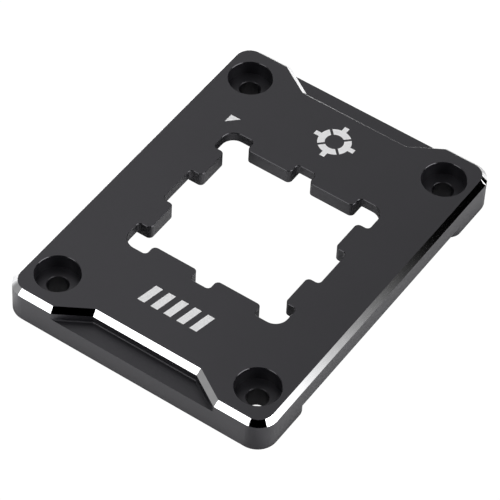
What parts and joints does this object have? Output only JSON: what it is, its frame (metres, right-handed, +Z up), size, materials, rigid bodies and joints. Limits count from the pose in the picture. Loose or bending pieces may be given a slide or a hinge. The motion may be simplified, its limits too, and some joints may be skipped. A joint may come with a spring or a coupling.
{
  "type": "cpu contact frame",
  "caption": "Flat rectangular frame milled from aluminium plate, with a tabbed square window for the processor, counterbored corner screw holes, and end bars underneath that clear the socket.",
  "frame": {"origin": "centre of the plate in plan, on the plane that its two end bars stand on", "axes": "+Z up, out of the face that the screw heads sit in; Y along the long side of the plate and X along the short side; +Y points to the end beside which the corner triangle is marked"},
  "size_m": [0.056, 0.075, 0.008],
  "materials": {
    "black_anodised": "fine bead-blasted, black anodised",
    "bright_cut": "bare rim chamfer cut bright after anodising",
    "etched_mark": "pale laser etching, matte"
  },
  "bodies": {
    "root": {"contact_frame": "black_anodised"}
  },
  "joints": []
}
